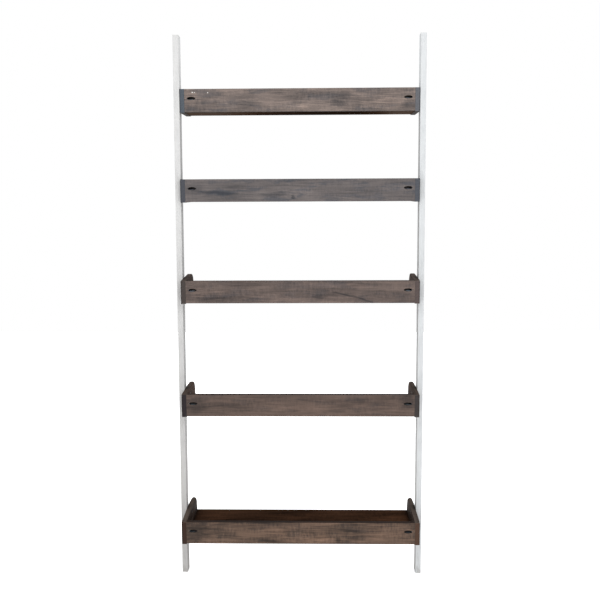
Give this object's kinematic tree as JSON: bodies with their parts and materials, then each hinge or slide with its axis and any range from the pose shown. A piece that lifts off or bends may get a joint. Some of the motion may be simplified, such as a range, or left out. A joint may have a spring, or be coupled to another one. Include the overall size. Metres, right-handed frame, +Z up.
{
  "type": "ladder shelf",
  "caption": "Tall narrow-framed ladder shelf: leaning white wooden uprights carrying dark stained open-backed trays that get deeper towards the floor.",
  "frame": {"origin": "on the floor, in the middle of the shelf's outline seen from above", "axes": "+X to the right seen from the front, +Y towards the wall, +Z up; the front faces -Y"},
  "size_m": [0.813, 0.2958, 1.785],
  "materials": {
    "upright_paint": "white painted wood, brushed on, satin, with faint grain and worn edges",
    "tray_side_stain": "dark grey-brown stained wood, end grain bluish grey, matt",
    "tray_front_stain": "grey-brown stained wood with darker and bluish streaks along the grain, matt",
    "tray_floor_stain": "very dark brown stained wood, matt",
    "screw_steel": "zinc plated steel, slightly dull"
  },
  "bodies": {
    "root": {"upright_left": "upright_paint", "upright_right": "upright_paint", "tray_1_side_panel_left": "tray_side_stain", "tray_1_side_panel_right": "tray_side_stain", "tray_1_front_board": "tray_front_stain", "tray_1_floor_board": "tray_floor_stain", "tray_1_pocket_screws": "screw_steel", "tray_1_upright_screws": "screw_steel", "tray_1_floor_screws": "screw_steel", "tray_2_side_panel_left": "tray_side_stain", "tray_2_side_panel_right": "tray_side_stain", "tray_2_front_board": "tray_front_stain", "tray_2_floor_board": "tray_floor_stain", "tray_2_pocket_screws": "screw_steel", "tray_2_upright_screws": "screw_steel", "tray_2_floor_screws": "screw_steel", "tray_3_side_panel_left": "tray_side_stain", "tray_3_side_panel_right": "tray_side_stain", "tray_3_front_board": "tray_front_stain", "tray_3_floor_board": "tray_floor_stain", "tray_3_pocket_screws": "screw_steel", "tray_3_upright_screws": "screw_steel", "tray_3_floor_screws": "screw_steel", "tray_4_side_panel_left": "tray_side_stain", "tray_4_side_panel_right": "tray_side_stain", "tray_4_front_board": "tray_front_stain", "tray_4_floor_board": "tray_floor_stain", "tray_4_pocket_screws": "screw_steel", "tray_4_upright_screws": "screw_steel", "tray_4_floor_screws": "screw_steel", "tray_5_side_panel_left": "tray_side_stain", "tray_5_side_panel_right": "tray_side_stain", "tray_5_front_board": "tray_front_stain", "tray_5_floor_board": "tray_floor_stain", "tray_5_pocket_screws": "screw_steel", "tray_5_upright_screws": "screw_steel", "tray_5_floor_screws": "screw_steel"}
  },
  "joints": []
}
